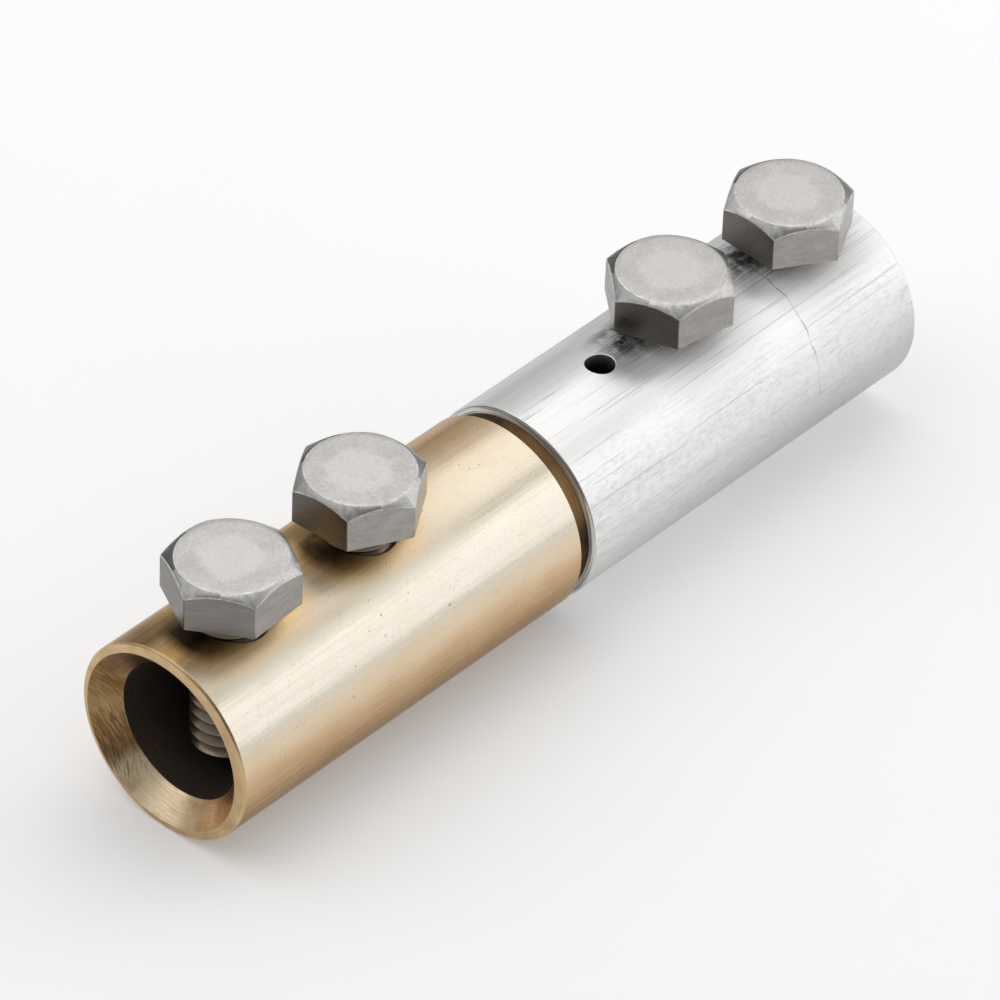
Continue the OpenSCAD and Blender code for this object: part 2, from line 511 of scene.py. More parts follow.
def drawn_brass():
    """Brass bar with drawing lines, hairs and nicks, aged in zones, with painted light and shade, and a
    painted shadow at the feet of its bolts.
    """
    finish = BarFinish("drawn_brass")
    lines = finish.streaks(12 * MM, 0.30 * MM)
    waves = finish.streaks(22 * MM, 2.4 * MM)
    patches = finish.mottle(4 * MM)
    specks = finish.mottle(0.3 * MM, 3.0)
    nicks = finish.peaks(finish.mottle(0.8 * MM, 2.0), 0.72, 0.76)
    hairs = finish.scratches(
        finish.unrolled, (68, 2.2 * MM, 0.12 * MM, 0.70), (-24, 2.8 * MM, 0.12 * MM, 0.70))
    # Painted shadow under the heads, at the feet of the bolts
    feet = finish.near_bolts(BRASS_BOLTS, 5.3 * MM, 6.9 * MM, shift=-1.2 * MM)
    painted_shadow = finish.times(
        feet, finish.facing(-4, ends=26, full=8), finish.remap(patches, 0.35, 0.60, 0.72, 0.97))
    colour = finish.layers(
        aged_brass_with_painted_light(finish, brass_tones_painted_by_light(finish, patches), patches),
        (finish.peaks(lines, 0.45, 0.75, cover=0.25), BRASS_LINE),
        (finish.peaks(specks, 0.50, 0.75, cover=0.12), BRASS_GRAIN),
        (finish.times(hairs, 0.30), BRASS_HAIR),
        (finish.times(nicks, 0.45), BRASS_NICK),
        (painted_shadow, BRASS_PAINTED_SHADOW),
    )
    by_bolts = finish.near_bolts(BRASS_BOLTS, 6.5 * MM, 14 * MM)
    dull = finish.times(by_bolts, finish.facing(0, ends=50, full=30))
    rolled = finish.bump(waves, 0.02 * MM)
    scored = finish.bump(lines, 0.011 * MM, normal=rolled)
    return finish.paint({
        "Base Color": colour,
        "Roughness": finish.maths("MULTIPLY_ADD", dull, 0.20, finish.spread(lines, 0.19, 0.30)),
        "Normal": finish.bump(nicks, -0.02 * MM, normal=scored),
        "Specular Tint": BRASS_TINT,
    })


def in_sink(finish):
    """1 on the slope of the countersink, and 0 on the land and the outer edge."""
    slope = finish.maths("ABSOLUTE", finish.parts(finish.normal)["X"])
    inwards = finish.remap(finish.radius, BARREL_R - 0.3 * MM, BARREL_R - 0.4 * MM)
    return finish.times(finish.remap(slope, 0.98, 0.88), inwards)


def turned_brass():
    """Brass faced in a lathe, with rings left by the tool, and painted shade on sides of the countersink,
    with scratches on its brown sides.
    """
    finish = BarFinish("turned_brass")
    rings = finish.rings(0.14 * MM)
    hairlines = finish.rings(0.07 * MM)
    patches = finish.mottle(2.5 * MM)
    uneven = finish.spread(patches, -0.2, 0.2)
    sunk = in_sink(finish)
    shaded_sink_side = finish.held_sum(finish.spoke(-58, ends=56, full=26), uneven)
    brushed = finish.scratches(finish.end_plane, (56, 2.5 * MM, 0.22 * MM, 0.48))
    hatches = finish.scratches(
        finish.end_plane, (50, 3.8 * MM, 0.13 * MM, 0.57), (63, 2.8 * MM, 0.13 * MM, 0.59))
    hatched = finish.times(hatches, finish.spoke(-124, ends=32, full=14), sunk)
    sink = finish.layers(
        SINK_PALE,
        # Painted shade by side in the countersink
        (finish.spoke(-95, ends=50, full=20), SINK_GOLDEN_SHADE),
        (shaded_sink_side, SINK_BROWN_SHADE),
        (finish.held_sum(finish.spoke(-119, ends=21, full=9), uneven), SINK_DEEP_SHADE),
        (finish.held_sum(finish.spoke(115, ends=60, full=20), uneven), SINK_WARM_SHADE),
        (finish.times(brushed, shaded_sink_side, 0.34), SINK_RUBBED),
    )
    land = finish.blend(finish.remap(patches, *TWO_TONES), LAND_LIGHT, LAND_DARK)
    ring_cover = finish.remap(finish.times(shaded_sink_side, sunk), 0, 1, 0.28, 0.05)
    colour = finish.layers(
        land,
        (sunk, sink),
        (finish.times(finish.peaks(rings, 0.40, 0.70), ring_cover), TURNED_RING),
        (finish.peaks(hairlines, 0.48, 0.68, cover=0.28), TURNED_HAIR),
        (finish.times(hatched, 0.85), SINK_HATCH),
    )
    return finish.paint({
        "Base Color": colour,
        "Roughness": finish.spread(rings, 0.24, 0.36),
        "Normal": finish.bump(hatched, -0.03 * MM, normal=finish.bump(rings, 0.014 * MM)),
    })


def brown_neck():
    """The tarnished neck in the groove, dark as painted shade, with painted golden light where it faces up
    and to the front and a painted highlight.
    """
    finish = BarFinish("brown_neck", metallic=0.0)
    rings = finish.rings(0.2 * MM)
    uneven = finish.spread(finish.mottle(2 * MM), -0.25, 0.25)
    colour = finish.layers(
        NECK_TARNISH_AND_SHADE,
        (finish.held_sum(finish.facing(34, ends=46, full=22), uneven), NECK_LIT_GOLD),
        (finish.facing(52, ends=22, full=10), NECK_PAINTED_HIGHLIGHT),
        (finish.peaks(rings, 0.4, 0.7, cover=0.3), NECK_RING),
    )
    return finish.paint({
        "Base Color": colour,
        "Roughness": finish.spread(rings, 0.40, 0.55),
        "Specular IOR Level": 0.05,
    })


# Materials of the aluminium barrel

def ring_score(finish):
    """A thin broken score that wanders round the upper front near the outer bolt."""
    wander = finish.maths("MULTIPLY_ADD", finish.mottle(5 * MM, 2.0), 1.6 * MM, finish.along)
    apart = finish.maths("ABSOLUTE", finish.maths("SUBTRACT", wander, RING_SCORE_X))
    broken = finish.remap(finish.mottle(1.6 * MM, 3.0), 0.40, 0.60, 0.15, 1)
    score = finish.remap(apart, 0.03 * MM, 0.11 * MM, 1, 0)
    return finish.times(score, finish.facing(40, ends=58, full=36), broken)


def scuffs(finish):
    """Specks and slanting scratches in patches on the lower front."""
    patches = finish.remap(finish.mottle(6 * MM), *TWO_TONES, -0.40, 0.35)
    low = finish.held_sum(finish.facing(92, ends=64, full=16), patches)
    specks = finish.peaks(finish.streaks(0.9 * MM, 0.28 * MM, 6.0), 0.46, 0.70, cover=0.8)
    slants = finish.scratches(
        finish.unrolled, (63, 3.2 * MM, 0.13 * MM, 0.71), (-28, 4.5 * MM, 0.13 * MM, 0.73))
    return finish.times(finish.maths("MULTIPLY_ADD", slants, 0.5, specks), low)


def grimy_and_shaded_aluminium(finish, colour, fine, by_bolts):
    """An aluminium colour with grime and painted shade in the fine lines round the bolts, and a smudged
    painted shadow at their feet.
    """
    last_bolt = bolt_axis(ALUMINIUM_BOLTS[-1]).x
    off_mouth = finish.remap(finish.along, last_bolt, last_bolt + 6 * MM, 1, 0.25)
    in_lines = finish.remap(fine, 0.47, 0.58, 0.1, 0.85)
    grime_and_shade = finish.times(by_bolts, finish.facing(-5, ends=25, full=10), off_mouth, in_lines)
    feet = finish.near_bolts(ALUMINIUM_BOLTS, 5 * MM, 9 * MM, shift=-1.5 * MM)
    smudges = finish.remap(finish.mottle(1.4 * MM, 5.0), 0.40, 0.56, 0.25, 0.97)
    # Smudged painted shadow under the heads, at the feet of the bolts
    painted_shadow = finish.times(feet, finish.facing(-7, ends=19, full=6), smudges)
    return finish.layers(colour, (grime_and_shade, ALUMINIUM_GRIME_AND_SHADE), (painted_shadow, ALUMINIUM_PAINTED_SHADOW))


def drawn_aluminium():
    """Bright aluminium bar with drawing lines, hairline scores, a ring score and a scuffed lower side, with a
    painted highlight on its front and painted shade on its back, its lower side and round its bolts.
    """
    finish = BarFinish("drawn_aluminium")
    fine = finish.streaks(7 * MM, 0.15 * MM)
    lines = finish.streaks(15 * MM, 0.32 * MM)
    bands = finish.streaks(60 * MM, 1.6 * MM)
    scores = finish.scratches(
        finish.unrolled, (0.4, 22 * MM, 0.14 * MM, 0.68), (-0.6, 8 * MM, 0.14 * MM, 0.72))
    by_bolts = finish.near_bolts(ALUMINIUM_BOLTS, 5.5 * MM, 11 * MM)
    behind = finish.times(finish.facing(-24, ends=40, full=18), 0.95)
    strength = finish.most(finish.remap(by_bolts, 0, 1, 0.30, 0.85), behind)
    colour = finish.layers(
        ALUMINIUM_LIGHT,
        (finish.remap(bands, *TWO_TONES), ALUMINIUM_DIM),
        # Painted highlight along the front
        (finish.facing(57, ends=22, full=8), ALUMINIUM_PAINTED_HIGHLIGHT),
        (finish.times(finish.peaks(lines, 0.45, 0.72, cover=0.45), strength), ALUMINIUM_LINE),
        (finish.times(finish.peaks(fine, 0.48, 0.74, cover=0.50), strength), ALUMINIUM_HAIR),
    )
    low_end = finish.remap(finish.along, JOINT_X, END_X, 0.15, 0.7)
    on_top = finish.remap(finish.facing(-6, ends=34, full=14), 0, 1, 0.40, 0.85)
    colour = finish.layers(
        grimy_and_shaded_aluminium(finish, colour, fine, by_bolts),
        # Painted shade on the lower side towards the end, and on the back
        (finish.times(finish.facing(108, ends=40, full=12), low_end), ALUMINIUM_LOW_SHADE),
        (finish.times(finish.facing(-70, ends=45, full=15), 0.8), ALUMINIUM_BACK_SHADE),
        (finish.times(scores, on_top), ALUMINIUM_SCORE),
        (finish.times(scuffs(finish), 0.46), ALUMINIUM_SCUFF),
        (finish.times(ring_score(finish), 0.75), ALUMINIUM_RING),
    )
    hazed = finish.times(
        finish.near_bolts(ALUMINIUM_BOLTS, 5 * MM, 10 * MM), finish.facing(19, ends=22, full=10))
    streaked = finish.bump(bands, 0.012 * MM)
    scored = finish.bump(lines, 0.018 * MM, strength, streaked)
    finely = finish.bump(fine, 0.006 * MM, normal=scored)
    return finish.paint({
        "Base Color": colour,
        "Metallic": finish.remap(hazed, 0, 1, 1, 0.15),
        "Roughness": finish.maths("MULTIPLY_ADD", by_bolts, 0.22, finish.spread(lines, 0.29, 0.37)),
        "Normal": finish.bump(scores, -0.02 * MM, normal=finely),
        "Specular Tint": ALUMINIUM_TINT,
    })


def turned_aluminium():
    """Aluminium faced in a lathe, with rings left by the tool, most worn at the joint."""
    finish = BarFinish("turned_aluminium")
    rings = finish.rings(0.16 * MM)
    at_joint = finish.remap(finish.along, JOINT_X + 1 * MM, JOINT_X + 3 * MM, 1, 0.4)
    worn = finish.times(finish.peaks(rings, 0.46, 0.58), at_joint)
    return finish.paint({
        "Base Color": finish.blend(worn, FACED_LIGHT, FACED_WORN),
        "Roughness": finish.spread(rings, 0.40, 0.52),
        "Normal": finish.bump(rings, 0.02 * MM),
    })


def bore_with_painted_shade(name, light, dark):
    """The inside of a bore, darkened as painted shade, with drill marks."""
    finish = BarFinish(name)
    marks = finish.streaks(0.25 * MM, 3 * MM)
    return finish.paint({
        "Base Color": finish.blend(finish.remap(marks, *TWO_TONES), light, dark),
        "Roughness": finish.spread(marks, 0.50, 0.62),
        "Normal": finish.bump(marks, 0.01 * MM),
    })


# Materials of the bolts

FINE_GRAIN = (0.22 * MM, 0.22 * MM, 0.22 * MM)
TOP_GRAIN = (0.35 * MM, 0.35 * MM, 0.35 * MM)
EDGE_GRAIN = (0.5 * MM, 0.5 * MM, 0.5 * MM)
SIDE_GRAIN = (2.5 * MM, 2.5 * MM, 0.45 * MM)
# How far the grain takes the roughness either way
STEEL_SWING = 0.06


def steel(name, light, dark, grain, roughness, painted_shade_side=None, disc=None, pits=0.22):
    """Stainless steel with a grain of three lengths, and a side darkened as painted shade or a lighter middle
    where asked.
    """
    finish = BoltFinish(name)
    grains = finish.grain(grain)
    patches = finish.mottle(2.2 * MM)
    specks = finish.mottle(0.3 * MM, 2.0)
    shade = finish.maths("ADD", finish.times(grains, 0.5), finish.times(patches, 0.5))
    colour = finish.blend(finish.remap(shade, 0.36, 0.64), light, dark)
    if painted_shade_side:
        # Painted shade on the sides turned towards -X
        colour = finish.blend(finish.turned_to(175, low=0.45, high=0.95), colour, painted_shade_side)
    if disc:
        ragged = finish.maths("MULTIPLY_ADD", patches, 2.4 * MM, finish.off_axis)
        colour = finish.blend(finish.remap(ragged, 4.0 * MM, 5.0 * MM, 0.8, 0), colour, disc)
    pit_colour = (*(part / 2 for part in dark[:3]), 1)
    return finish.paint({
        "Base Color": finish.blend(finish.peaks(specks, 0.50, 0.74, cover=pits), colour, pit_colour),
        "Roughness": finish.spread(grains, roughness - STEEL_SWING, roughness + STEEL_SWING),
        "Normal": finish.bump(grains, 0.008 * MM),
    })


def steel_bevel(name, light, dark):
    """A pitted bevel of a head."""
    return steel(name, light, dark, FINE_GRAIN, 0.34, pits=0.45)


def steel_underside():
    """The underside of a head, darkened towards its shank by painted shade."""
    finish = BoltFinish("steel_underside", metallic=0.1)
    grains = finish.mottle(0.6 * MM)
    inwards = finish.remap(finish.off_axis, 4.2 * MM, 6.6 * MM, 1, 0)
    return finish.paint({
        "Base Color": finish.layers(UNDER_LIGHT, (grains, UNDER_DARK), (inwards, UNDER_SHADE)),
        "Roughness": finish.spread(grains, 0.45, 0.6),
    })


def steel_thread():
    """The screw thread, with brown painted shade in its grooves and dark painted shade under the head."""
    finish = BoltFinish("steel_thread")
    grains = finish.mottle(0.4 * MM)
    height = finish.parts(finish.place)["Z"]
    crest = finish.remap(finish.off_axis, BOLT_R - THREAD_DEPTH, BOLT_R - 0.15 * MM)
    crest_colour = finish.blend(grains, THREAD_LIGHT, THREAD_DARK)
    shade_under_head = finish.remap(height, -2 * UNDERCUT_LEN, -UNDERCUT_LEN, 0, 0.8)
    return finish.paint({
        "Base Color": finish.layers(THREAD_ROOT_SHADE, (crest, crest_colour), (shade_under_head, THREAD_SHADE_UNDER_HEAD)),
        "Roughness": finish.spread(grains, 0.26, 0.40),
    })


def pale_floor():
    """A pale sheet, lighter to the eye and in the metal than its own light makes it, and darkened far away by
    painted shade.
    """
    finish = Finish("pale_floor", metallic=0.0)
    far = finish.remap(finish.measure("LENGTH", finish.place), FLOOR_NEAR, FLOOR_FAR)
    rays = finish.add("LightPath").outputs
    looked_at = finish.maths("ADD", rays["Is Camera Ray"], rays["Is Glossy Ray"])
    looked_at = finish.held_sum(looked_at, rays["Is Transmission Ray"])
    return finish.paint({
        "Base Color": finish.layers(FLOOR_LIGHT, (finish.mottle(30 * MM), FLOOR_DIM), (far, FLOOR_FAR_SHADE)),
        "Emission Strength": finish.times(looked_at, finish.remap(far, 0, 1, FLOOR_GLOW, 0)),
        "Emission Color": grey(1),
        "Roughness": 0.9,
        "Specular IOR Level": 0.1,
    })


BRASS = [
    drawn_brass(),
    turned_brass(),
    # A bore painted dark as shade
    bore_with_painted_shade("bored_brass_shaded", (0.20, 0.165, 0.145, 1), (0.165, 0.135, 0.115, 1)),
    brown_neck(),
]
ALUMINIUM = [
    drawn_aluminium(),
    turned_aluminium(),
    # A bore painted dark as shade
    bore_with_painted_shade("bored_aluminium_shaded", grey(0.20), grey(0.14)),
]
STEEL = [
    steel(
        "steel_top", (0.66, 0.635, 0.61, 1), (0.54, 0.52, 0.50, 1), TOP_GRAIN, 0.34,
        disc=(0.71, 0.68, 0.655, 1),
    ),
    steel_bevel("steel_bevel", (0.62, 0.614, 0.605, 1), (0.54, 0.535, 0.527, 1)),
    # Bevels in painted half shade and painted full shade, by the way a corner points
    steel_bevel("steel_bevel_half_shade", (0.39, 0.386, 0.38, 1), (0.33, 0.327, 0.322, 1)),
    steel_bevel("steel_bevel_full_shade", (0.17, 0.168, 0.166, 1), (0.14, 0.138, 0.136, 1)),
    steel(
        "steel_side", (0.385, 0.368, 0.35, 1), (0.31, 0.294, 0.277, 1), SIDE_GRAIN, 0.30,
        # Painted shade on the sides turned towards -X
        painted_shade_side=(0.15, 0.138, 0.128, 1),
    ),
    # A painted highlight on the head's edges
    steel("steel_edge_highlight", (0.84, 0.83, 0.81, 1), (0.50, 0.49, 0.48, 1), EDGE_GRAIN, 0.5),
    steel_underside(),
    steel_thread(),
]
OUTSIDE, TURNED, BORE_SHADE, NECK = range(4)
TOP, BEVEL, BEVEL_HALF_SHADE, BEVEL_FULL_SHADE, SIDE, EDGE_HIGHLIGHT, UNDER, THREAD = range(8)
# Finishes of a head between its rings, from its middle outwards and down; the edge rings carry a painted
# highlight
HEAD_FINISHES = (TOP, TOP, EDGE_HIGHLIGHT, BEVEL, BEVEL, EDGE_HIGHLIGHT, SIDE, SIDE, UNDER)
# The ways, in degrees from +X, that the corners with bevels in painted full shade and in painted half shade
# point
FULL_SHADE_WAYS = ((75, 135),)
HALF_SHADE_WAYS = ((150, 220), (315, 355))


# Mesh helpers

def ring_point(radius, angle, height):
    """A point by its distance from the Z axis, its angle and its height."""
    return Vector((radius * math.cos(angle), radius * math.sin(angle), height))


def even_turns(steps):
    """Angles at even steps round a full turn."""
    return [2 * math.pi * step / steps for step in range(steps)]


def filleted(corners):
    """The outline through (x, radius, fillet) corners, with each corner rounded by its fillet."""
    outline = []
    for index, (x, radius, fillet) in enumerate(corners):
        corner = Vector((x, radius))
        if not fillet:
            outline.append(corner)
            continue
        back = (Vector(corners[index - 1][:2]) - corner).normalized()
        ahead = (Vector(corners[index + 1][:2]) - corner).normalized()
        half = back.angle(ahead) / 2
        centre = corner + (back + ahead).normalized() * fillet / math.sin(half)
        start = corner + back * fillet / math.tan(half) - centre
        finish = corner + ahead * fillet / math.tan(half) - centre
        sweep = math.atan2(start.cross(finish), start.dot(finish))
        for step in range(FILLET_STEPS + 1):
            outline.append(centre + Matrix.Rotation(sweep * step / FILLET_STEPS, 2) @ start)
    return outline


def joined_rings(model, rings):
    """Faces between each ring of corners and the next, where a ring may be one point. Returns them by gap."""
    gaps = []
    for first, second in zip(rings, rings[1:]):
        count = max(len(first), len(second))
        faces = []
        for here in range(count):
            ahead = (here + 1) % count
            corners = (first[here % len(first)], first[ahead % len(first)],
                       second[ahead % len(second)], second[here % len(second)])
            faces.append(model.faces.new(list(dict.fromkeys(corners))))
        gaps.append(faces)
    return gaps


def lathe(outline):
    """A closed solid turned about the X axis from an outline that starts and ends on it."""
    model = bmesh.new()
    turns = even_turns(LATHE_STEPS)
    rings = []
    for x, radius in outline:
        angles = turns if radius > 0 else [0]
        rings.append([
            model.verts.new((x, radius * math.sin(angle), radius * math.cos(angle))) for angle in angles
        ])
    joined_rings(model, rings)
    bmesh.ops.recalc_face_normals(model, faces=model.faces)
    return model


def hole_cutter(x, radius, lip):
    """A round cutter along Z, from the barrel's axis to past its top, that leaves a bevelled rim."""
    model = bmesh.new()
    turns = even_turns(HOLE_STEPS)

    def saddle(reach, rise):
        """A ring that follows the barrel's surface at that distance from the hole's axis."""
        ring = []
        for angle in turns:
            side = reach * math.sin(angle)
            height = math.sqrt(BARREL_R ** 2 - side ** 2) + rise
            ring.append(model.verts.new((x + reach * math.cos(angle), side, height)))
        return ring

    base = [model.verts.new((x + radius * math.cos(a), radius * math.sin(a), 0)) for a in turns]
    rings = [
        [model.verts.new((x, 0, 0))],
        base,
        saddle(radius, -lip),
        saddle(radius + 2 * lip, lip),
        [model.verts.new((x, 0, BARREL_R + 4 * lip))],
    ]
    joined_rings(model, rings)
    bmesh.ops.recalc_face_normals(model, faces=model.faces)
    return model


def as_object(name, model):
    """A scene object from a bmesh, which is freed."""
    mesh = bpy.data.meshes.new(name)
    model.to_mesh(mesh)
    model.free()
    made = bpy.data.objects.new(name, mesh)
    bpy.context.scene.collection.objects.link(made)
    return made


def apply_modifiers(made):
    """Shade an object smooth and turn its modifiers into mesh."""
    made.data.shade_smooth()
    depsgraph = bpy.context.evaluated_depsgraph_get()
    mesh = bpy.data.meshes.new_from_object(made.evaluated_get(depsgraph))
    made.modifiers.clear()
    made.data = mesh


def weigh_normals(made):
    """Keep large faces flat and let narrow rounded edges carry the turn."""
    modifier = made.modifiers.new("weighted", "WEIGHTED_NORMAL")
    modifier.weight = 100
    apply_modifiers(made)


def drill(made, holes):
    """Cut (x, radius, lip) holes through a barrel's top wall."""
    cutters = []
    for x, radius, lip in holes:
        cutter = as_object("cutter", hole_cutter(x, radius, lip))
        modifier = made.modifiers.new("hole", "BOOLEAN")
        modifier.operation = "DIFFERENCE"
        modifier.solver = "EXACT"
        modifier.object = cutter
        cutters.append(cutter)
    apply_modifiers(made)
    for cutter in cutters:
        bpy.data.objects.remove(cutter)


def round_normals(made):
    """True normals on the barrel's outside, where the cuts leave faces of many sizes."""
    mesh = made.data
    normals = [corner.vector.copy() for corner in mesh.corner_normals]
    for face in mesh.polygons:
        places = [mesh.vertices[index].co for index in face.vertices]
        if all(abs(math.hypot(place.y, place.z) - BARREL_R) < ROUND_NEAR for place in places):
            for loop, place in zip(face.loop_indices, places):
                normals[loop] = Vector((0, place.y, place.z)).normalized()
    mesh.normals_split_custom_set(normals)


def in_a_hole(places, holes):
    """Whether the places all lie in the same one of the (x, radius, lip) holes."""
    return any(
        max(math.hypot(place.x - x, place.y) for place in places) < radius + NEAR
        for x, radius, lip in holes
    )


def paint_barrel(made, materials, bore, holes):
    """Materials for the outside, the turned faces, the bore between two stations and the holes into it."""
    mesh = made.data
    mesh.materials.clear()
    for material in materials:
        mesh.materials.append(material)
    for face in mesh.polygons:
        places = [mesh.vertices[index].co for index in face.vertices]
        reach = [math.hypot(place.y, place.z) for place in places]
        in_bore = max(reach) < BORE_R + NEAR and bore[0] < face.center.x < bore[1]
        on_neck = max(reach) < NECK_R + NEAR and face.center.x > BRASS_LEN
        if min(reach) > BARREL_R - NEAR:
            face.material_index = OUTSIDE
        # Bores and hole walls take the bore finish, painted dark as shade
        elif in_bore or (face.center.z > 0 and in_a_hole(places, holes)):
            face.material_index = BORE_SHADE
        elif on_neck and len(materials) > NECK:
            face.material_index = NECK
        else:
            face.material_index = TURNED


def barrel(name, model, materials, bore, holes):
    """A drilled and painted barrel from its turned solid."""
    made = as_object(name, model)
    drill(made, holes)
    weigh_normals(made)
    round_normals(made)
    paint_barrel(made, materials, bore, holes)
    return made


def tapped_holes(names):
    """The (x, radius, lip) holes for these bolts."""
    return [(bolt_axis(name).x, TAPPED_R, TAPPED_LIP) for name in names]


# Barrels

def brass_barrel():
    """Brass barrel with its bore, countersink, neck and spigot."""
    corners = [
        (BORE_DEPTH, 0, 0),
        (BORE_DEPTH, BORE_R, BORE_BOTTOM_ROUND),
        (SINK_DEPTH, BORE_R, SHARP_ROUND),
        (0, SINK_R, SHARP_ROUND),
        (0, BARREL_R - EDGE_BEVEL, BRASS_MOUTH_ROUND),
        (EDGE_BEVEL, BARREL_R, BRASS_MOUTH_ROUND),
        (BRASS_LEN - SHOULDER_BEVEL, BARREL_R, SHARP_ROUND),
        (BRASS_LEN, BARREL_R - SHOULDER_BEVEL, SHARP_ROUND),
        (BRASS_LEN, NECK_R, SHARP_ROUND),
        (JOINT_X, NECK_R, SHARP_ROUND),
        (JOINT_X, SPIGOT_R, 0),
        (SPIGOT_END, SPIGOT_R, 0),
        (SPIGOT_END, 0, 0),
    ]
    model = lathe(filleted(corners))
    for corner in model.verts:
        off_edge = math.hypot(corner.co.y, corner.co.z) - SINK_R
        if corner.co.x < SINK_DEPTH / 2 and abs(off_edge) < SINK_EDGE:
            corner.co += SINK_SHIFT
    bore = (0, BORE_DEPTH + BORE_SPARE)
    made = barrel("brass_barrel", model, BRASS, bore, tapped_holes(BRASS_BOLTS))
    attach(made, "barrels")
    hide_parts("brass_socket")


def aluminium_barrel():
    """Aluminium barrel with its bore, inspection hole and spigot hole."""
    spigot_hole_r = SPIGOT_R + SPIGOT_CLEAR
    spigot_hole_end = SPIGOT_END + SPIGOT_END_GAP
    corners = [
        (spigot_hole_end, 0, 0),
        (spigot_hole_end, spigot_hole_r, 0),
        (JOINT_X, spigot_hole_r, 0),
        (JOINT_X, BARREL_R - JOINT_BEVEL_R, SHARP_ROUND),
        (JOINT_X + JOINT_BEVEL_X, BARREL_R, ALUMINIUM_ROUND),
        (END_X - EDGE_BEVEL, BARREL_R, ALUMINIUM_ROUND),
        (END_X, BARREL_R - EDGE_BEVEL, SHARP_ROUND),
        (END_X, SINK_R, SHARP_ROUND),
        (END_X - SINK_DEPTH, BORE_R, SHARP_ROUND),
        (BORE_BOTTOM_X, BORE_R, BORE_BOTTOM_ROUND),
        (BORE_BOTTOM_X, 0, 0),
    ]
    sight = (BORE_BOTTOM_X + SIGHT_INSET, SIGHT_R, SIGHT_LIP)
    holes = [*tapped_holes(ALUMINIUM_BOLTS), sight]
    bore = (BORE_BOTTOM_X - BORE_SPARE, END_X)
    made = barrel("aluminium_barrel", lathe(filleted(corners)), ALUMINIUM, bore, holes)
    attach(made, "barrels")
    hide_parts("aluminium_socket")


# Bolts

def hex_reach(angle):
    """How far a hexagon with rounded corners reaches at an angle from one of its corners."""
    apothem = HEAD_AF / 2
    half_side = math.radians(SIDE_DEGREES / 2)
    off_flat = half_side - abs((angle + half_side) % (2 * half_side) - half_side)
    half_flat = (apothem - HEAD_CORNER_R) * math.tan(half_side)
    if apothem * math.tan(off_flat) <= half_flat:
        return apothem / math.cos(off_flat)
    inner = Vector((apothem - HEAD_CORNER_R, half_flat))
    along = inner.dot(Vector((math.cos(off_flat), math.sin(off_flat))))
    return along + math.sqrt(HEAD_CORNER_R ** 2 - inner.length_squared + along ** 2)


def bolt_angles():
    """Angles round a bolt, closer together at the six corners of its head."""
    flat = (SIDE_DEGREES - 2 * CORNER_HALF_DEGREES) / FLAT_STEPS
    sector = [0, CORNER_HALF_DEGREES / 2]
    sector += [CORNER_HALF_DEGREES + flat * step for step in range(FLAT_STEPS + 1)]
    sector += [SIDE_DEGREES - CORNER_HALF_DEGREES / 2]
    return [math.radians(SIDE_DEGREES * side + angle) for side in range(HEAD_SIDES) for angle in sector]


def head_rings(model, angles):
    """Rings of the head from its middle outwards and down to its underside, which is at height 0."""
    slope = HEAD_BEVEL / (HEAD_AF / math.sqrt(3) - HEAD_TOP_R)

    def bevel_height(reach):
        """Height of the conical bevel at that distance from the axis."""
        return HEAD_H - slope * (reach - HEAD_TOP_R)

    places = [
        lambda reach: (HEAD_TOP_R - 3 * HEAD_RIM, HEAD_H),
        lambda reach: (HEAD_TOP_R - HEAD_RIM, HEAD_H),
        lambda reach: (HEAD_TOP_R - HEAD_RIM / 4, HEAD_H - HEAD_RIM / 6),
        lambda reach: (HEAD_TOP_R + HEAD_RIM / 2, bevel_height(HEAD_TOP_R + HEAD_RIM / 2)),
        lambda reach: (reach - HEAD_EDGE, bevel_height(reach - HEAD_EDGE)),
        lambda reach: (reach, bevel_height(reach) - HEAD_EDGE),
        lambda reach: (reach, HEAD_EDGE),
        lambda reach: (reach - HEAD_EDGE, 0),
        lambda reach: (UNDERCUT_R, 0),
    ]
    rings = [[model.verts.new((0, 0, HEAD_H))]]
    for place in places:
        ring = []
        for angle in angles:
            reach, height = place(hex_reach(angle))
            ring.append(model.verts.new(ring_point(reach, angle, height)))
        rings.append(ring)
    return rings


def bevel_finish(degrees):
    """The finish of the bevel at a corner, with painted shade by the way the corner points."""
    degrees %= 360
    if any(low < degrees < high for low, high in FULL_SHADE_WAYS):
        return BEVEL_FULL_SHADE
    return BEVEL_HALF_SHADE if any(low < degrees < high for low, high in HALF_SHADE_WAYS) else BEVEL


def thread_rows(model, angles, length):
    """Rows of corners that climb round the shank with its thread, held between its tip and the head."""
    count = len(THREAD_FORM)
    turns = math.ceil(length / THREAD_PITCH) + 2
    rows = []
    for turn in range(turns):
        for share, depth in THREAD_FORM:
            row = []
            for angle in angles:
                climb = (turn - 1 + share + angle / (2 * math.pi)) * THREAD_PITCH - length
                height = min(0, max(-length, climb))
                reach = min(BOLT_R - THREAD_DEPTH * depth, BOLT_R - TIP_BEVEL + height + length)
                undercut = min(1, max(0, 2 + 2 * height / UNDERCUT_LEN))
                reach += (UNDERCUT_R - reach) * undercut
                row.append(model.verts.new(ring_point(reach, angle, height)))
            rows.append(row)
    for index in range(len(rows) - count - 1):
        for column in range(len(angles)):
            wraps = column + 1 == len(angles)
            beside = (column + 1) % len(angles)
            shift = count if wraps else 0
            face = model.faces.new((
                rows[index][column], rows[index + shift][beside],
                rows[index + shift + 1][beside], rows[index + 1][column],
            ))
            face.material_index = THREAD
    return rows


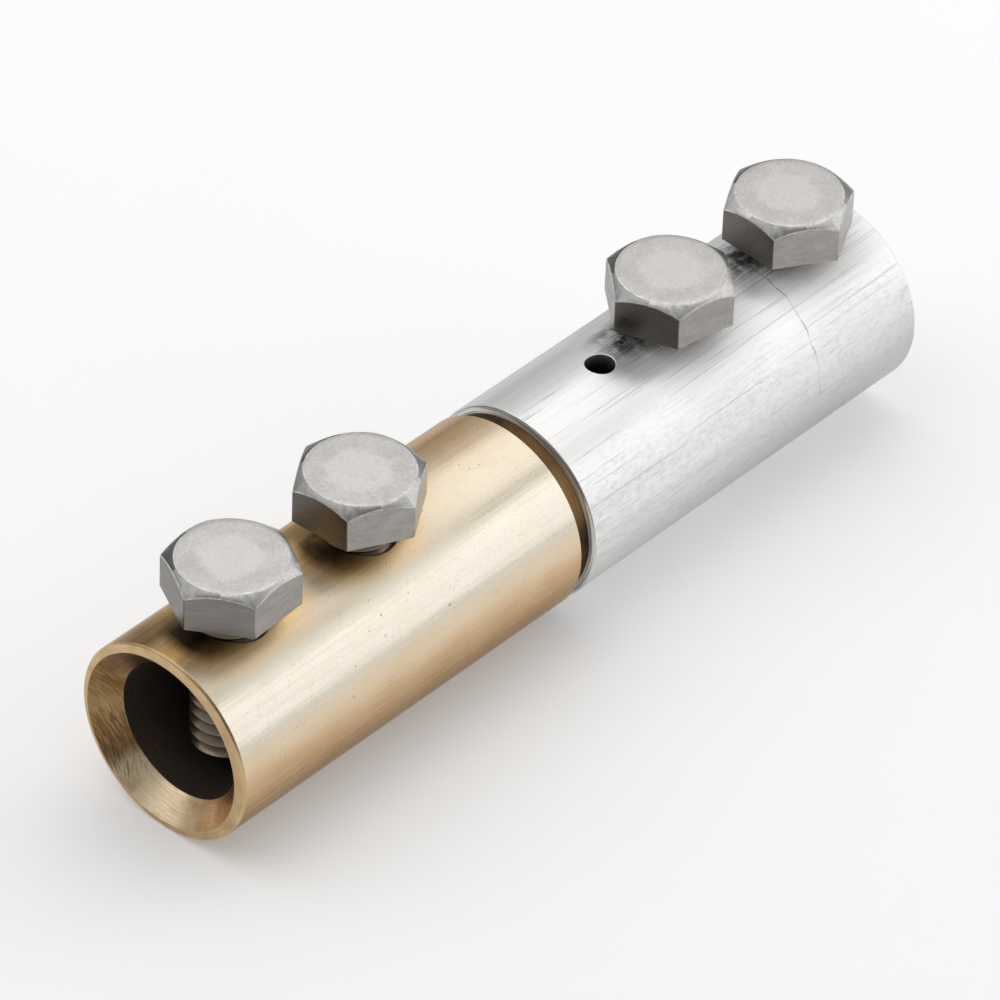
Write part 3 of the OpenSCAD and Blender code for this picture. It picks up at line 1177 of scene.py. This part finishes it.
def bolt(name, turn):
    """Hexagon bolt with a satin head carrying painted highlights and shade, and a threaded shank."""
    low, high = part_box(name)
    seat = high.z - HEAD_H
    length = seat - low.z
    angles = bolt_angles()
    model = bmesh.new()
    gaps = joined_rings(model, head_rings(model, angles))
    for faces, finish in zip(gaps, HEAD_FINISHES):
        for face, angle in zip(faces, angles):
            corner = SIDE_DEGREES * round(math.degrees(angle) / SIDE_DEGREES + TIE_NUDGE)
            face.material_index = bevel_finish(corner + turn) if finish == BEVEL else finish
    rows = thread_rows(model, angles, length)
    for face in joined_rings(model, [[model.verts.new((0, 0, -length))], rows[0]])[0]:
        face.material_index = THREAD
    bmesh.ops.remove_doubles(model, verts=model.verts, dist=WELD)
    bmesh.ops.recalc_face_normals(model, faces=model.faces)
    made = as_object(name + "_dressed", model)
    for material in STEEL:
        made.data.materials.append(material)
    made.data.transform(Matrix.Rotation(math.radians(turn), 4, "Z"))
    weigh_normals(made)
    axis = bolt_axis(name)
    made.location = (axis.x, axis.y, seat)
    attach(made, name)
    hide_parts(name)


# Studio

def floor():
    """A pale sheet under the barrels."""
    model = bmesh.new()
    bmesh.ops.create_grid(model, x_segments=1, y_segments=1, size=FLOOR_HALF)
    made = as_object("floor", model)
    made.location = (TARGET.x, TARGET.y, FLOOR_Z)
    made.data.materials.append(pale_floor())


def softbox(name, place, towards, size, radiance, turn=0):
    """A rectangular lamp at a place, facing a point, of that radiance above the room's own."""
    lamp = bpy.data.lights.new(name, "AREA")
    lamp.shape = "RECTANGLE"
    lamp.size, lamp.size_y = size
    lamp.energy = radiance * math.pi * size[0] * size[1]
    made = bpy.data.objects.new(name, lamp)
    bpy.context.scene.collection.objects.link(made)
    made.location = place
    made.rotation_mode = "QUATERNION"
    aim = (place - towards).to_track_quat("Z", "Y")
    made.rotation_quaternion = aim @ Quaternion((0, 0, 1), math.radians(turn))


def studio():
    """A wide soft box overhead, one in front to the right, and a grey room that is lighter above."""
    below = OVERHEAD_PLACE - Vector((0, 0, 1))
    softbox("overhead_box", OVERHEAD_PLACE, below, OVERHEAD_SIZE, OVERHEAD_RADIANCE, OVERHEAD_TURN)
    softbox("front_box", FRONT_PLACE, TARGET, FRONT_SIZE, FRONT_RADIANCE)
    world = bpy.data.worlds.new("room")
    world.use_nodes = True
    nodes = Nodes(world.node_tree)
    direction = nodes.add("TexCoord").outputs["Generated"]
    towards = nodes.measure("DOT_PRODUCT", direction, ROOM_LIGHT_WAY)
    shade = nodes.remap(towards, *ROOM_SPAN, ROOM_DARK, ROOM_LIGHT)
    nodes.feed(world.node_tree.nodes["Background"], {"Color": shade})
    bpy.context.scene.world = world


def camera():
    """The photograph's viewpoint."""
    level = cosine(ELEVATION)
    back = Vector((sine(AZIMUTH) * level, -cosine(AZIMUTH) * level, sine(ELEVATION)))
    lens = bpy.data.cameras.new("camera")
    lens.sensor_width = SENSOR_WIDTH
    lens.angle = math.radians(FIELD_OF_VIEW)
    made = bpy.data.objects.new("camera", lens)
    bpy.context.scene.collection.objects.link(made)
    made.location = TARGET + back * DISTANCE
    made.rotation_mode = "QUATERNION"
    made.rotation_quaternion = back.to_track_quat("Z", "Y") @ Quaternion((0, 0, 1), math.radians(ROLL))
    bpy.context.scene.camera = made


brass_barrel()
aluminium_barrel()
for bolt_name, bolt_turn in BOLTS.items():
    bolt(bolt_name, bolt_turn)
floor()
studio()
camera()
bpy.context.scene.view_settings.view_transform = "Standard"
